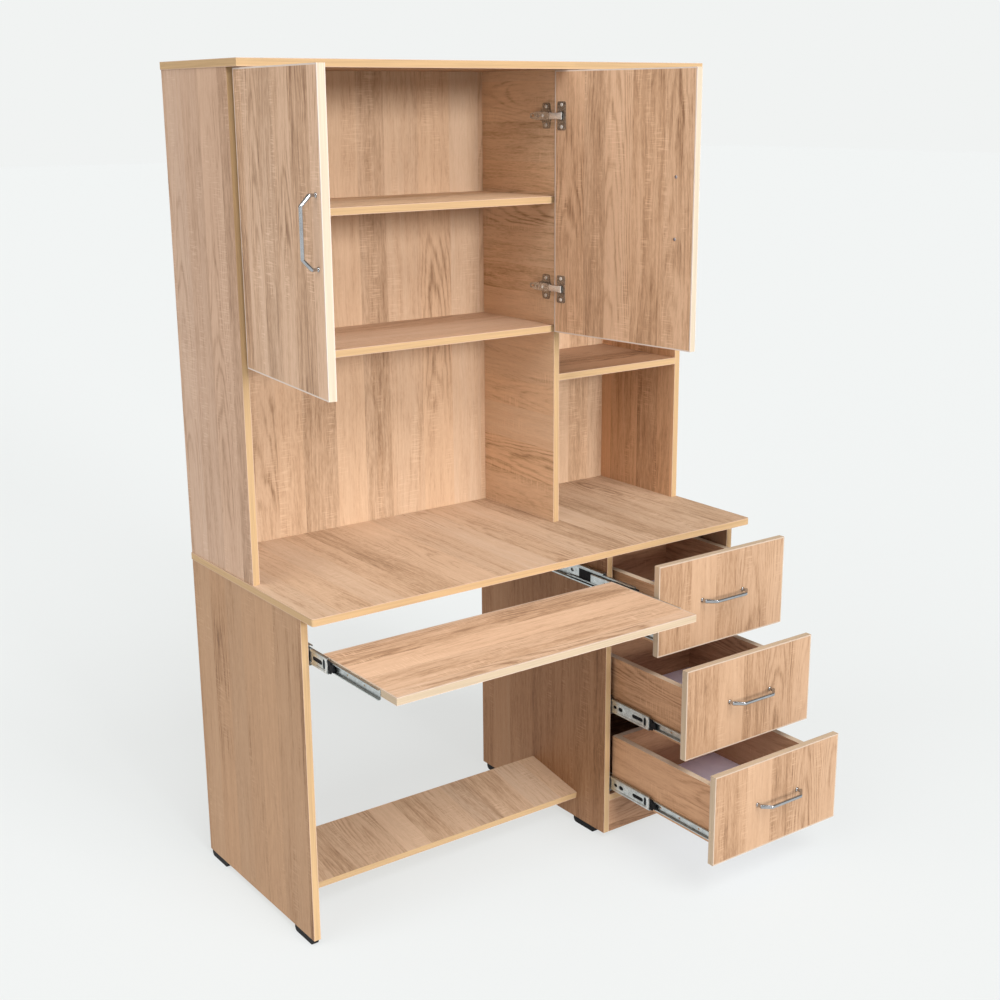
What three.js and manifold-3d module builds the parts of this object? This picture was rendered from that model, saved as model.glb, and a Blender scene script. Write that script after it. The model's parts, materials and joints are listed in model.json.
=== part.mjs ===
// Computer desk with hutch, two cupboard doors, keyboard tray and a pedestal of three drawers.
// Millimetres, +Z up, front towards -Y. The desk is laid out in a workshop frame
// (X from the left end of the worktop, Y from its front edge, Z from the floor)
// and the whole group is then shifted so that its origin lies on the floor under the middle.
import * as THREE from 'three';
import { mergeVertices } from 'three/addons/utils/BufferGeometryUtils.js';
import Module from 'manifold-3d';

// ---------------------------------------------------------------- driving dimensions
const WIDTH = 1200;
const DEPTH = 560;
const WORKTOP_Z = 755;
const HEIGHT = 1815;
const BOARD = 16;
const FOOT_H = 15;
const SIDE_INSET = 2;

const BASE_FRONT = 56;
const PEDESTAL_X = 800;
const PEDESTAL_FLOOR_Z = 97;

const HUTCH_FRONT = 258;
const HUTCH_BACK_Y = 538;
const HUTCH_TOP_FRONT = 208;
const CUPBOARD_SHELF_Z = 1524;
const CUPBOARD_BOTTOM_Z = 1231;
const SIDE_SHELF_Z = 1114;

const DOOR_W = 405;
const DOOR_LOW_Z = 1217;
const DOOR_HIGH_Z = 1797;
const DOOR_GAP = 2;
const LEFT_DOOR_OPEN = 96;
const RIGHT_DOOR_OPEN = 97;
const PIVOT_IN = 8.5;
const PIVOT_OUT = 17.5;
const HINGE_ZS = [1317, 1700];

const RUNNER_GAP = 13;
const TRAY_TOP_Z = 669;
const TRAY_DEPTH = 280;
const TRAY_OUT = 258;
const TRAY_CLOSED_Y = 2;
const TRAY_RUNNER_Z = 657;
const TRAY_RUNNER_L = 300;

const FRONT_W = 394;
const FRONT_H = 213;
const FRONT_LOW_ZS = [524, 308, 92];
const BOX_LOW_ZS = [540, 324, 124];
const BOX_H = 138;
const BOX_L = 362;
const DRAWER_OUT = [160, 258, 356];
const MID_FRONT_Y = [-39, -97.5, -104];
const MID_L = 328;

const HANDLE_CC = 128;
const HANDLE_OUT = 33;
const HANDLE_W = 10;

// ---------------------------------------------------------------- derived positions
const LEFT_X = SIDE_INSET;
const LEFT_IN = SIDE_INSET + BOARD;
const RIGHT_X = WIDTH - SIDE_INSET;
const RIGHT_IN = WIDTH - SIDE_INSET - BOARD;
const PEDESTAL_IN = PEDESTAL_X + BOARD;
const UNDER_TOP = WORKTOP_Z - BOARD;
const HUTCH_CEILING = HEIGHT - BOARD;

// ---------------------------------------------------------------- materials
function paint(color, roughness, metalness) {
  return new THREE.MeshStandardMaterial({ color, roughness, metalness });
}
const OAK_OUTER = 0xbb9a7c;
const OAK_TOP = 0xd2aa88;
const OAK_INNER = 0xb98f6c;
const OAK_FRONT = 0xdcb691;
const CHROME = 0xd9dadc;
const ZINC = 0xb9c0c0;
const BLACK = 0x17181a;
const PALE = 0xc9bccb;

const wasm = await Module();
wasm.setup();

// ---------------------------------------------------------------- helpers
const desk = new THREE.Group();

function addMesh(parent, name, geometry, material) {
  const mesh = new THREE.Mesh(geometry, material);
  mesh.name = name;
  parent.add(mesh);
  return mesh;
}

// A block between two corners, its vertices written at their own coordinates.
function block(x0, x1, y0, y1, z0, z1) {
  const geometry = new THREE.BoxGeometry(x1 - x0, y1 - y0, z1 - z0);
  geometry.translate((x0 + x1) / 2, (y0 + y1) / 2, (z0 + z1) / 2);
  return geometry;
}

function board(parent, name, color, x0, x1, y0, y1, z0, z1) {
  return addMesh(parent, name, block(x0, x1, y0, y1, z0, z1), paint(color, 0.55, 0));
}

function toSolid(geometry) {
  const bare = geometry.clone();
  bare.deleteAttribute('normal');
  bare.deleteAttribute('uv');
  const merged = mergeVertices(bare, 1e-4);
  const vertProperties = new Float32Array(merged.attributes.position.array);
  const triVerts = new Uint32Array(merged.index.array);
  return new wasm.Manifold(new wasm.Mesh({ numProp: 3, vertProperties, triVerts }));
}

function fromSolid(solid) {
  const mesh = solid.getMesh();
  const geometry = new THREE.BufferGeometry();
  geometry.setAttribute('position', new THREE.BufferAttribute(new Float32Array(mesh.vertProperties), 3));
  geometry.setIndex(new THREE.BufferAttribute(new Uint32Array(mesh.triVerts), 1));
  geometry.computeVertexNormals();
  return geometry;
}

function join(blocks) {
  let solid = toSolid(blocks[0]);
  for (const next of blocks.slice(1)) {
    solid = solid.add(toSolid(next));
  }
  return fromSolid(solid);
}

// Extrudes an outline given as [x, z] pairs from y0 to y1.
function prismY(outline, y0, y1) {
  const shape = new THREE.Shape(outline.map(([x, z]) => new THREE.Vector2(x, z)));
  const geometry = new THREE.ExtrudeGeometry(shape, { depth: y1 - y0, bevelEnabled: false });
  geometry.rotateX(Math.PI / 2);
  const position = geometry.attributes.position;
  for (let i = 0; i < position.count; i += 1) {
    position.setY(i, Math.round((y1 + position.getY(i)) * 1000) / 1000);
    position.setZ(i, Math.round(position.getZ(i) * 1000) / 1000);
  }
  return geometry;
}

// Extrudes an outline given as [y, z] pairs from x0 to x1.
function prismX(outline, x0, x1) {
  const shape = new THREE.Shape(outline.map(([y, z]) => new THREE.Vector2(y, z)));
  const geometry = new THREE.ExtrudeGeometry(shape, { depth: x1 - x0, bevelEnabled: false });
  const swap = new THREE.Matrix4().set(
    0, 0, 1, x0,
    1, 0, 0, 0,
    0, 1, 0, 0,
    0, 0, 0, 1,
  );
  geometry.applyMatrix4(swap);
  return geometry;
}

// Extrudes an outline given as [x, y] pairs from z0 to z1.
function prismZ(outline, z0, z1) {
  const shape = new THREE.Shape(outline.map(([x, y]) => new THREE.Vector2(x, y)));
  const geometry = new THREE.ExtrudeGeometry(shape, { depth: z1 - z0, bevelEnabled: false });
  geometry.translate(0, 0, z0);
  return geometry;
}

// ---------------------------------------------------------------- base
function roundedTop() {
  const r = 6;
  const outline = [[0, DEPTH], [0, r]];
  for (let i = 1; i <= 5; i += 1) {
    const a = Math.PI + (i * Math.PI) / 10;
    outline.push([r + r * Math.cos(a), r + r * Math.sin(a)]);
  }
  for (let i = 0; i <= 5; i += 1) {
    const a = 1.5 * Math.PI + (i * Math.PI) / 10;
    outline.push([WIDTH - r + r * Math.cos(a), r + r * Math.sin(a)]);
  }
  outline.push([WIDTH, DEPTH]);
  return prismZ(outline, UNDER_TOP, WORKTOP_Z);
}
addMesh(desk, 'worktop', roundedTop(), paint(OAK_TOP, 0.5, 0));

board(desk, 'base_left_side', OAK_OUTER, LEFT_X, LEFT_IN, BASE_FRONT, DEPTH, FOOT_H, UNDER_TOP);
board(desk, 'pedestal_left_side', OAK_OUTER, PEDESTAL_X, PEDESTAL_IN, BASE_FRONT, DEPTH, FOOT_H, UNDER_TOP);
board(desk, 'pedestal_right_side', OAK_OUTER, RIGHT_IN, RIGHT_X, BASE_FRONT, DEPTH, FOOT_H, UNDER_TOP);
board(desk, 'pedestal_back', OAK_INNER, PEDESTAL_IN, RIGHT_IN, DEPTH - BOARD, DEPTH, FOOT_H, UNDER_TOP);
board(desk, 'pedestal_bottom', OAK_INNER, PEDESTAL_IN, RIGHT_IN, BASE_FRONT, DEPTH - BOARD,
  PEDESTAL_FLOOR_Z, PEDESTAL_FLOOR_Z + BOARD);
board(desk, 'pedestal_plinth', OAK_OUTER, PEDESTAL_IN, RIGHT_IN, BASE_FRONT, BASE_FRONT + BOARD,
  FOOT_H, PEDESTAL_FLOOR_Z);

// Foot rest: its front edge hangs lower than its back edge.
const REST_TILT = THREE.MathUtils.degToRad(10);
const REST_DEPTH = 180;
const REST_FRONT = [161, 82];
function footRest() {
  const along = [Math.cos(REST_TILT), Math.sin(REST_TILT)];
  const down = [Math.sin(REST_TILT), -Math.cos(REST_TILT)];
  const [y, z] = REST_FRONT;
  const outline = [
    [y, z],
    [y + BOARD * down[0], z + BOARD * down[1]],
    [y + BOARD * down[0] + REST_DEPTH * along[0], z + BOARD * down[1] + REST_DEPTH * along[1]],
    [y + REST_DEPTH * along[0], z + REST_DEPTH * along[1]],
  ];
  return prismX(outline, LEFT_IN, PEDESTAL_X);
}
addMesh(desk, 'foot_rest', footRest(), paint(OAK_TOP, 0.5, 0));

// Glide feet: skids with sloping ends, nailed under the standing panels.
function glideFoot(xMiddle, yFront, length) {
  const y1 = yFront + length;
  const outline = [
    [yFront, FOOT_H],
    [yFront, 8],
    [yFront + 2.5, 3],
    [yFront + 7, 0],
    [y1 - 7, 0],
    [y1 - 2.5, 3],
    [y1, 8],
    [y1, FOOT_H],
  ];
  return prismX(outline, xMiddle - 7, xMiddle + 7);
}
const FEET = [
  ['foot_left_front', LEFT_X + 8, 64],
  ['foot_left_rear', LEFT_X + 8, 474],
  ['foot_middle_front', PEDESTAL_X + 8, 93],
  ['foot_middle_rear', PEDESTAL_X + 8, 464],
  ['foot_right_front', RIGHT_IN + 8, 93],
  ['foot_right_rear', RIGHT_IN + 8, 464],
];
for (const [name, x, y] of FEET) {
  addMesh(desk, name, glideFoot(x, y, 80), paint(BLACK, 0.6, 0));
}

// ---------------------------------------------------------------- hutch
board(desk, 'hutch_left_side', OAK_OUTER, LEFT_X, LEFT_IN, HUTCH_FRONT, DEPTH, WORKTOP_Z, HUTCH_CEILING);
board(desk, 'hutch_right_side', OAK_OUTER, RIGHT_IN, RIGHT_X, HUTCH_FRONT, DEPTH, WORKTOP_Z, HUTCH_CEILING);
board(desk, 'hutch_divider', OAK_INNER, PEDESTAL_X, PEDESTAL_IN, HUTCH_FRONT, HUTCH_BACK_Y,
  WORKTOP_Z, HUTCH_CEILING);
board(desk, 'hutch_top', OAK_TOP, 0, WIDTH, HUTCH_TOP_FRONT, DEPTH, HUTCH_CEILING, HEIGHT);
board(desk, 'hutch_back', OAK_TOP, LEFT_IN, RIGHT_IN, HUTCH_BACK_Y, HUTCH_BACK_Y + BOARD,
  WORKTOP_Z, HUTCH_CEILING);
board(desk, 'cupboard_shelf', OAK_INNER, LEFT_IN, PEDESTAL_X, HUTCH_FRONT, HUTCH_BACK_Y,
  CUPBOARD_SHELF_Z - BOARD, CUPBOARD_SHELF_Z);
board(desk, 'cupboard_bottom', OAK_INNER, LEFT_IN, PEDESTAL_X, HUTCH_FRONT, HUTCH_BACK_Y,
  CUPBOARD_BOTTOM_Z - BOARD, CUPBOARD_BOTTOM_Z);
board(desk, 'side_shelf', OAK_INNER, PEDESTAL_IN, RIGHT_IN, HUTCH_FRONT, HUTCH_BACK_Y,
  SIDE_SHELF_Z - BOARD, SIDE_SHELF_Z);

// Hinge arms: a cross plate on the panel and an arm reaching forward to the door.
function hingeArm(panelX, sign, z) {
  const near = panelX + sign * 3;
  const far = panelX + sign * 13;
  const lo = Math.min(near, far);
  const hi = Math.max(near, far);
  const plateLo = Math.min(panelX, near);
  const plateHi = Math.max(panelX, near);
  return join([
    block(plateLo, plateHi, 272, 304, z - 28, z + 28),
    block(plateLo, plateHi, 262, 336, z - 8, z + 8),
    block(lo, hi, 262, 336, z - 8, z + 8),
  ]);
}
HINGE_ZS.forEach((z, i) => {
  const level = ['lower', 'upper'][i];
  addMesh(desk, `left_hinge_${level}`, hingeArm(LEFT_IN, 1, z), paint(ZINC, 0.35, 0.9));
  addMesh(desk, `right_hinge_${level}`, hingeArm(PEDESTAL_X, -1, z), paint(ZINC, 0.35, 0.9));
});

// ---------------------------------------------------------------- bow handles
// Outline of a bow handle as [along, out] pairs: two posts, two sloping arms, one straight grip.
function bowOutline(gap) {
  const c = HANDLE_CC / 2;
  const outer = [[-c - 4, gap], [-c - 4, 13], [-c + 17, HANDLE_OUT]];
  const inner = [[-c + 19.5, HANDLE_OUT - 7], [-c + 4, 11], [-c + 4, gap]];
  const mirror = (pairs) => pairs.map(([a, b]) => [-a, b]).reverse();
  return [...outer, ...mirror(outer), ...mirror(inner), ...inner];
}

function handleAlongX(xMiddle, yFace, zMiddle) {
  const points = bowOutline(0.3).map(([a, b]) => [xMiddle + a, yFace - b]);
  return prismZ(points, zMiddle - HANDLE_W / 2, zMiddle + HANDLE_W / 2);
}

function handleAlongZ(xMiddle, yFace, zMiddle) {
  const points = bowOutline(0.3).map(([a, b]) => [yFace - b, zMiddle + a]);
  return prismX(points, xMiddle - HANDLE_W / 2, xMiddle + HANDLE_W / 2);
}

// ---------------------------------------------------------------- doors
// Each door is drawn shut in a group whose origin is its hinge axis, then turned open.
const DOOR_HANDLE_Z = 1514;
function door(name, sign, axisX, turn, handleFromEdge) {
  const group = new THREE.Group();
  group.position.set(axisX, HUTCH_FRONT - PIVOT_OUT, 0);
  group.rotation.z = THREE.MathUtils.degToRad(turn);
  const near = sign * (1.5 - PIVOT_IN);
  const far = near + sign * DOOR_W;
  const faceY = PIVOT_OUT - DOOR_GAP - BOARD;
  board(group, name, OAK_FRONT, Math.min(near, far), Math.max(near, far), faceY, faceY + BOARD,
    DOOR_LOW_Z, DOOR_HIGH_Z);
  addMesh(group, `${name}_handle`, handleAlongZ(far - sign * handleFromEdge, faceY, DOOR_HANDLE_Z),
    paint(CHROME, 0.2, 1));
  desk.add(group);
}
door('left_door', 1, LEFT_X + PIVOT_IN, -LEFT_DOOR_OPEN, 22);
door('right_door', -1, PEDESTAL_IN - PIVOT_IN, RIGHT_DOOR_OPEN, 50);

// ---------------------------------------------------------------- ball-bearing runner members
// A folded channel: its web on the side given by open, its flanges reaching the other way.
function channel(xWeb, xLip, half, thickness, zMiddle, y0, y1) {
  const s = Math.sign(xLip - xWeb);
  const outline = [
    [xWeb, zMiddle - half],
    [xLip, zMiddle - half],
    [xLip, zMiddle - half + thickness],
    [xWeb + s * thickness, zMiddle - half + thickness],
    [xWeb + s * thickness, zMiddle + half - thickness],
    [xLip, zMiddle + half - thickness],
    [xLip, zMiddle + half],
    [xWeb, zMiddle + half],
  ];
  return prismY(outline, y0, y1);
}

// panelX is the cabinet face the runner is screwed to, s points from it to the moving box.
function middleMember(parent, name, panelX, s, z, y0, y1) {
  addMesh(parent, name, channel(panelX + s * 2.5, panelX + s * 8.5, 17.5, 1.5, z, y0, y1), paint(ZINC, 0.35, 0.9));
}

function movingMember(parent, name, panelX, s, z, y0, y1) {
  const boxX = panelX + s * RUNNER_GAP;
  addMesh(parent, name, channel(boxX, boxX - s * 7, 11, 1.5, z, y0, y1), paint(ZINC, 0.35, 0.9));
}

// ---------------------------------------------------------------- keyboard tray
const trayY = TRAY_CLOSED_Y - TRAY_OUT;
const trayX0 = LEFT_IN + RUNNER_GAP;
const trayX1 = PEDESTAL_X - RUNNER_GAP;
board(desk, 'keyboard_tray', OAK_FRONT, trayX0, trayX1, trayY, trayY + TRAY_DEPTH, TRAY_TOP_Z - BOARD, TRAY_TOP_Z);
movingMember(desk, 'tray_runner_left', LEFT_IN, 1, TRAY_RUNNER_Z, -200, -200 + TRAY_RUNNER_L);
movingMember(desk, 'tray_runner_right', PEDESTAL_X, -1, TRAY_RUNNER_Z, -200, -200 + TRAY_RUNNER_L);
middleMember(desk, 'tray_middle_member_left', LEFT_IN, 1, TRAY_RUNNER_Z, -35, 227);
middleMember(desk, 'tray_middle_member_right', PEDESTAL_X, -1, TRAY_RUNNER_Z, -68, 194);

// ---------------------------------------------------------------- drawers
const frontX0 = (PEDESTAL_X + RIGHT_X) / 2 - FRONT_W / 2;
const boxX0 = PEDESTAL_IN + RUNNER_GAP;
const boxX1 = RIGHT_IN - RUNNER_GAP;
for (let i = 0; i < 3; i += 1) {
  const name = `drawer_${i + 1}`;
  const back = BASE_FRONT - DRAWER_OUT[i];
  const z = BOX_LOW_ZS[i];
  const zFront = FRONT_LOW_ZS[i];
  const zRunner = z + 20;
  board(desk, `${name}_front`, OAK_FRONT, frontX0, frontX0 + FRONT_W, back - BOARD, back, zFront, zFront + FRONT_H);
  const box = join([
    block(boxX0, boxX0 + BOARD, back, back + BOX_L, z, z + BOX_H),
    block(boxX1 - BOARD, boxX1, back, back + BOX_L, z, z + BOX_H),
    block(boxX0, boxX1, back + BOX_L - BOARD, back + BOX_L, z, z + BOX_H),
  ]);
  addMesh(desk, `${name}_box`, box, paint(OAK_INNER, 0.55, 0));
  board(desk, `${name}_bottom`, PALE, boxX0 + BOARD, boxX1 - BOARD, back, back + BOX_L - BOARD, z + 6, z + 10);
  addMesh(desk, `${name}_handle`, handleAlongX(frontX0 + FRONT_W / 2, back - BOARD, zFront + 110.5),
    paint(CHROME, 0.2, 1));
  movingMember(desk, `${name}_runner_left`, PEDESTAL_IN, 1, zRunner, back, back + BOX_L);
  movingMember(desk, `${name}_runner_right`, RIGHT_IN, -1, zRunner, back, back + BOX_L);
  const y0 = MID_FRONT_Y[i];
  middleMember(desk, `${name}_middle_member_left`, PEDESTAL_IN, 1, zRunner, y0, y0 + MID_L);
  middleMember(desk, `${name}_middle_member_right`, RIGHT_IN, -1, zRunner, y0, y0 + MID_L);
}

desk.position.set(-568.5, -105.5, 0);
export default desk;
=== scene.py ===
"""Computer desk with hutch, keyboard tray and pedestal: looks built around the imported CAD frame."""
import json
import math

import bmesh
import bpy
from mathutils import Matrix, Vector


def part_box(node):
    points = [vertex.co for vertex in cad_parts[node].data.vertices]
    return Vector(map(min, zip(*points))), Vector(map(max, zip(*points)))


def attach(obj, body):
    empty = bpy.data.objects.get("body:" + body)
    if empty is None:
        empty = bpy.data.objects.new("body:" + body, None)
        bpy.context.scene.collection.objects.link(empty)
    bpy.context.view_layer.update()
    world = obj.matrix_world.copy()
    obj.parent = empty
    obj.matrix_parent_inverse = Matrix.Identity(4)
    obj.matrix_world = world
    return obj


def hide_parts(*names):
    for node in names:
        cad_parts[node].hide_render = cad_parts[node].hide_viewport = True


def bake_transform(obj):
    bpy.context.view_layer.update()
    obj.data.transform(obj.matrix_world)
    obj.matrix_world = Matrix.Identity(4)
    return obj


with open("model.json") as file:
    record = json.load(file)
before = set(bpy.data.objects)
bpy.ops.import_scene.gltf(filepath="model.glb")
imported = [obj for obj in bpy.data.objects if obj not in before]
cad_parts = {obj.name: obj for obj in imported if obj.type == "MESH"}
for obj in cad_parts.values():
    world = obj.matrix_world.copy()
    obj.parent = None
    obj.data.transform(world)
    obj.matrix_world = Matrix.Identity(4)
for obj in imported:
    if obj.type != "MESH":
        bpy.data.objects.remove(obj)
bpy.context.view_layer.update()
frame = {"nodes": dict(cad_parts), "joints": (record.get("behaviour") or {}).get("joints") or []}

NODES = frame["nodes"]
JOINTS = {j["name"]: j for j in frame["joints"]}
MM = 0.001

# ---------------------------------------------------------------- camera
CAMERA_AT = Vector((-1.8572, -2.5129, 1.7330))
YAW, PITCH, ROLL = (math.radians(a) for a in (-35.92, -15.242, -0.386))
LENS, SENSOR = 52.74, 36.0


def make_camera():
    forward = Vector((
        math.sin(-YAW) * math.cos(PITCH),
        math.cos(-YAW) * math.cos(PITCH),
        math.sin(PITCH),
    ))
    level = forward.cross(Vector((0, 0, 1))).normalized()
    rise = level.cross(forward)
    right = level * math.cos(ROLL) + rise * math.sin(ROLL)
    up = rise * math.cos(ROLL) - level * math.sin(ROLL)
    data = bpy.data.cameras.new("camera")
    data.lens, data.sensor_width = LENS, SENSOR
    camera = bpy.data.objects.new("camera", data)
    turn = Matrix((right, up, -forward)).transposed().to_4x4()
    camera.matrix_world = Matrix.Translation(CAMERA_AT) @ turn
    bpy.context.scene.collection.objects.link(camera)
    bpy.context.scene.camera = camera


make_camera()


# ---------------------------------------------------------------- node helpers
def node(tree, kind, settings=None, inputs=None):
    """Adds a shader node. inputs maps a socket's name or index to a value or to another socket."""
    made = tree.nodes.new(kind)
    for key, value in (settings or {}).items():
        setattr(made, key, value)
    for key, value in (inputs or {}).items():
        plug(tree, made.inputs[key], value)
    return made


def plug(tree, socket, value):
    if isinstance(value, bpy.types.NodeSocket):
        tree.links.new(value, socket)
    else:
        socket.default_value = value


def calc(tree, operation, *values, clamp=False):
    settings = {"operation": operation, "use_clamp": clamp}
    return node(tree, "ShaderNodeMath", settings, dict(enumerate(values))).outputs[0]


def dot(tree, vector, direction):
    made = node(tree, "ShaderNodeVectorMath", {"operation": "DOT_PRODUCT"}, {0: vector, 1: direction})
    return made.outputs["Value"]


def vec(tree, x, y, z):
    return node(tree, "ShaderNodeCombineXYZ", None, {0: x, 1: y, 2: z}).outputs[0]


def noise(tree, vector, scale=1.0, detail=2.0, roughness=0.5):
    inputs = {"Vector": vector, "Scale": scale, "Detail": detail, "Roughness": roughness}
    return node(tree, "ShaderNodeTexNoise", {"noise_dimensions": "3D"}, inputs).outputs[0]


def step(tree, value, low, high, to_low=0.0, to_high=1.0):
    inputs = {"Value": value, "From Min": low, "From Max": high, "To Min": to_low, "To Max": to_high}
    made = node(tree, "ShaderNodeMapRange", {"interpolation_type": "SMOOTHSTEP"}, inputs)
    return made.outputs[0]


def mix(tree, factor, a, b, blend="MIX"):
    made = node(tree, "ShaderNodeMix", {"data_type": "RGBA", "blend_type": blend})
    plug(tree, made.inputs[0], factor)
    plug(tree, made.inputs[6], a)
    plug(tree, made.inputs[7], b)
    return made.outputs[2]


def ramp(tree, factor, stops):
    made = node(tree, "ShaderNodeValToRGB", None, {0: factor})
    elements = made.color_ramp.elements
    while len(elements) < len(stops):
        elements.new(0.5)
    for element, (place, color) in zip(elements, stops):
        element.position = place
        element.color = (*color, 1)
    return made.outputs[0]


def new_material(name):
    material = bpy.data.materials.new(name)
    material.use_nodes = True
    tree = material.node_tree
    return material, tree, tree.nodes["Principled BSDF"]


def bump(tree, shader, height, distance, strength=1.0):
    inputs = {"Height": height, "Distance": distance, "Strength": strength}
    made = node(tree, "ShaderNodeBump", None, inputs)
    tree.links.new(made.outputs[0], shader.inputs["Normal"])


# ---------------------------------------------------------------- oak decor
PLANKS = 13.0
SEED_ALONG, SEED_ACROSS = 3.71, 5.17
PLANK_SHIFT = 7
TONE_MIDDLE, TONE_SPREAD = 0.56, 0.44
ARCH_CURVE, ARCH_PITCH, ARCH_WAVER, ARCH_SHARP = 1500, 7.5, 5.5, 2.2


def stretched(g, along, per_along, across, per_across, lot, **settings):
    """Noise with its own scale along and across the grain, in features per metre."""
    at = vec(g, calc(g, "MULTIPLY", along, per_along), calc(g, "MULTIPLY", across, per_across), lot)
    return noise(g, at, **settings)


def planks(g, u, v, seed):
    """Planks of uneven width, each with its own tone and its own piece of the pattern. Returns the
    place across the grain, the distance from the plank's middle and three numbers of its own."""
    shift = calc(g, "MULTIPLY", seed, SEED_ALONG)
    wander = noise(g, vec(g, calc(g, "MULTIPLY_ADD", u, 0.9, shift), calc(g, "MULTIPLY", v, 3), seed))
    across = calc(g, "MULTIPLY_ADD", wander, 0.004, v)
    plank_at = calc(g, "MULTIPLY_ADD", across, PLANKS, calc(g, "MULTIPLY", seed, SEED_ACROSS))
    plank = node(g, "ShaderNodeTexVoronoi", {"voronoi_dimensions": "1D"},
                 {"W": plank_at, "Scale": 1.0, "Randomness": 0.85})
    lots = node(g, "ShaderNodeSeparateColor", None, {0: plank.outputs["Color"]}).outputs[:3]
    off_middle = calc(g, "DIVIDE", calc(g, "SUBTRACT", plank_at, plank.outputs["W"]), PLANKS)
    along = calc(g, "ADD", calc(g, "MULTIPLY_ADD", lots[0], PLANK_SHIFT, u), shift)
    return along, across, off_middle, lots


def cathedral(g, along, off_middle, low, figure_lot):
    """Cathedral figure: nested arches about the middle of some planks."""
    arch = calc(g, "MULTIPLY", calc(g, "MULTIPLY", off_middle, off_middle), ARCH_CURVE)
    arch = calc(g, "MULTIPLY_ADD", along, ARCH_PITCH, arch)
    arch = calc(g, "MULTIPLY_ADD", low, ARCH_WAVER, arch)
    rings = calc(g, "MULTIPLY_ADD", calc(g, "SINE", calc(g, "MULTIPLY", arch, math.tau)), 0.5, 0.5)
    rings = calc(g, "POWER", rings, ARCH_SHARP)
    where = noise(g, vec(g, calc(g, "MULTIPLY", along, 2.6), figure_lot, 4))
    figured = calc(g, "MULTIPLY", step(g, figure_lot, 0.42, 0.62), step(g, where, 0.42, 0.6))
    return calc(g, "MULTIPLY", rings, figured)


def saw_marks(g, u, along, across, seed):
    """Pale lines straight across the grain, in patches."""
    marks = step(g, stretched(g, u, 330, across, 22, seed, detail=1), 0.5, 0.7)
    patch = step(g, stretched(g, along, 4.2, across, 16, 9), 0.52, 0.66)
    return calc(g, "MULTIPLY", marks, patch)


def oak_figure():
    """Node group: a rough-sawn oak decor from (along the grain, across it, seed), in metres.
    Tone is 0 dark to 1 light, Cool leans a plank towards grey, Height is for bump."""
    g = bpy.data.node_groups.new("oak_figure", "ShaderNodeTree")
    for name in ("Along", "Across", "Seed"):
        g.interface.new_socket(name, in_out="INPUT", socket_type="NodeSocketFloat")
    for name in ("Tone", "Cool", "Height"):
        g.interface.new_socket(name, in_out="OUTPUT", socket_type="NodeSocketFloat")
    u, v, seed = g.nodes.new("NodeGroupInput").outputs[:3]
    along, across, off_middle, (tone_lot, figure_lot, cool_lot) = planks(g, u, v, seed)

    # Long streaks, short flecks, fine fibres, pores and dark lens shapes a hand's width long. The
    # broadest noise also bends the finer ones.
    low = stretched(g, along, 2.6, across, 12, seed, detail=3)
    bent = calc(g, "MULTIPLY_ADD", low, 0.030, across)
    streak = stretched(g, along, 2.2, bent, 62, tone_lot, detail=3, roughness=0.55)
    fleck = stretched(g, along, 14, bent, 200, cool_lot, detail=3, roughness=0.6)
    fibre = stretched(g, along, 55, bent, 430, seed, detail=3, roughness=0.65)
    pores = step(g, stretched(g, along, 45, bent, 800, 2), 0.58, 0.74)
    lens = step(g, stretched(g, along, 5.5, bent, 75, figure_lot, detail=2), 0.61, 0.72)
    rings = cathedral(g, along, off_middle, low, figure_lot)
    marks = saw_marks(g, u, along, across, seed)

    # value, its middle, its weight in the tone
    tone = calc(g, "MULTIPLY_ADD", calc(g, "SUBTRACT", tone_lot, 0.5), TONE_SPREAD, TONE_MIDDLE)
    for value, middle, weight in (
        (low, 0.5, 0.50), (streak, 0.5, 0.66), (fleck, 0.5, 0.80), (fibre, 0.5, 0.66),
        (rings, 0, -0.32), (pores, 0, -0.16), (marks, 0, 0.34), (lens, 0, -0.14),
    ):
        tone = calc(g, "MULTIPLY_ADD", calc(g, "SUBTRACT", value, middle), weight, tone)
    height = calc(g, "MULTIPLY_ADD", pores, -0.8, calc(g, "MULTIPLY_ADD", marks, 0.5, fibre))

    out = g.nodes.new("NodeGroupOutput")
    g.links.new(calc(g, "ADD", tone, 0, clamp=True), out.inputs["Tone"])
    g.links.new(calc(g, "MULTIPLY", cool_lot, streak), out.inputs["Cool"])
    g.links.new(height, out.inputs["Height"])
    return g


OAK = oak_figure()
AXES = {"x": Vector((1, 0, 0)), "y": Vector((0, 1, 0)), "z": Vector((0, 0, 1))}

# Linear base colours of the decor, its edgings and the plain boards.
DECOR = (0.500, 0.315, 0.200)
BOX_DECOR = (0.50, 0.280, 0.155)
YELLOW_EDGE = (0.470, 0.310, 0.160)
TRAY_EDGE = (0.46, 0.36, 0.25)
DOOR_EDGE = (0.54, 0.455, 0.345)
DRAWER_EDGE = (0.48, 0.37, 0.26)
PALE_EDGE = (0.62, 0.49, 0.36)
LAMINATE_SHINE = 0.3
LAMINATE_ROUGH = (0.66, 0.52)
COOL_LEAN = (0.90, 0.97, 1.06)
# The thin light line where an edging meets the decor.
YELLOW_LINE = (0.51, 0.355, 0.25)
TRAY_LINE = (0.55, 0.43, 0.34)
DOOR_LINE = (0.62, 0.53, 0.47)
DRAWER_LINE = (0.46, 0.36, 0.28)
# Width of that line at the edging's two sides, and the softness of its border on the faces.
RIM, LINE_BLUR = 0.0008, 0.0003
TONE_STEPS = [
    (0.0, (0.42, 0.35, 0.30)),
    (0.3, (0.77, 0.73, 0.68)),
    (0.55, (1.0, 1.0, 1.0)),
    (1.0, (1.17, 1.21, 1.25)),
]


def figure(tree, along, across, seed):
    """The oak figure's tone, cool and height sockets."""
    inputs = {"Along": along, "Across": across, "Seed": seed}
    return node(tree, "ShaderNodeGroup", {"node_tree": OAK}, inputs).outputs


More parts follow.
